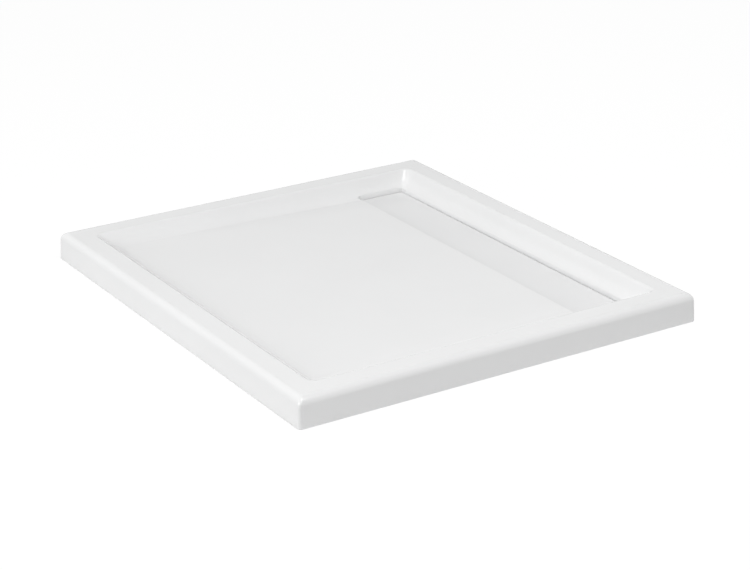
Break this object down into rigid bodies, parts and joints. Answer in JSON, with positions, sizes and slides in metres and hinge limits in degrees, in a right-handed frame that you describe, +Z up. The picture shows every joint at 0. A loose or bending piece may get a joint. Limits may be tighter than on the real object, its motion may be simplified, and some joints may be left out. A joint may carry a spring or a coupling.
{
  "type": "shower tray",
  "caption": "Low rectangular acrylic shower tray with a broad rim, a floor falling to a covered drain channel along one side, and reinforcement beneath.",
  "frame": {"origin": "middle of the tray's footprint, on the ground", "axes": "+Z up, +Y along the long side and the drain channel, +X across the floor towards the channel"},
  "size_m": [0.9, 1, 0.058],
  "materials": {
    "acrylic": "glossy white sanitary acrylic",
    "cover_acrylic": "glossy white sanitary acrylic",
    "laminate": "rough glass-fibre laminate in clear resin",
    "board": "resin-sealed particle board",
    "batten": "resin-sealed sawn timber",
    "core_sheet": "mill-finish sheet",
    "pad_rubber": "matt moulded rubber",
    "seal_rubber": "matt sheet rubber",
    "waste_steel": "brushed stainless steel",
    "screw_steel": "bright stainless steel",
    "strainer_steel": "polished stainless steel"
  },
  "bodies": {
    "tray": {"tray_shell": "acrylic", "shell_backing": "laminate", "floor_board": "board", "support_batten_1": "batten", "support_batten_2": "batten", "support_batten_3": "batten", "support_batten_4": "batten", "rim_batten_front": "batten", "rim_batten_back": "batten", "rim_batten_left": "batten", "rim_batten_right": "batten", "upper_seal": "seal_rubber", "lower_seal": "seal_rubber", "waste_flange": "waste_steel", "clamp_ring": "waste_steel", "flange_screws": "screw_steel"},
    "cover": {"channel_cover": "cover_acrylic", "cover_core": "core_sheet", "cover_pads": "pad_rubber"},
    "strainer": {"hair_strainer": "strainer_steel"}
  },
  "joints": [
    {"name": "cover_lift", "type": "slide", "parent": "tray", "child": "cover", "axis": [0, 0, 1], "range_m": [0, 0.15]},
    {"name": "strainer_lift", "type": "slide", "parent": "tray", "child": "strainer", "axis": [0, 0, 1], "range_m": [0, 0.075]}
  ],
  "couplings": [
    {"joint": "strainer_lift", "follows": "cover_lift", "ratio": 0.5}
  ]
}
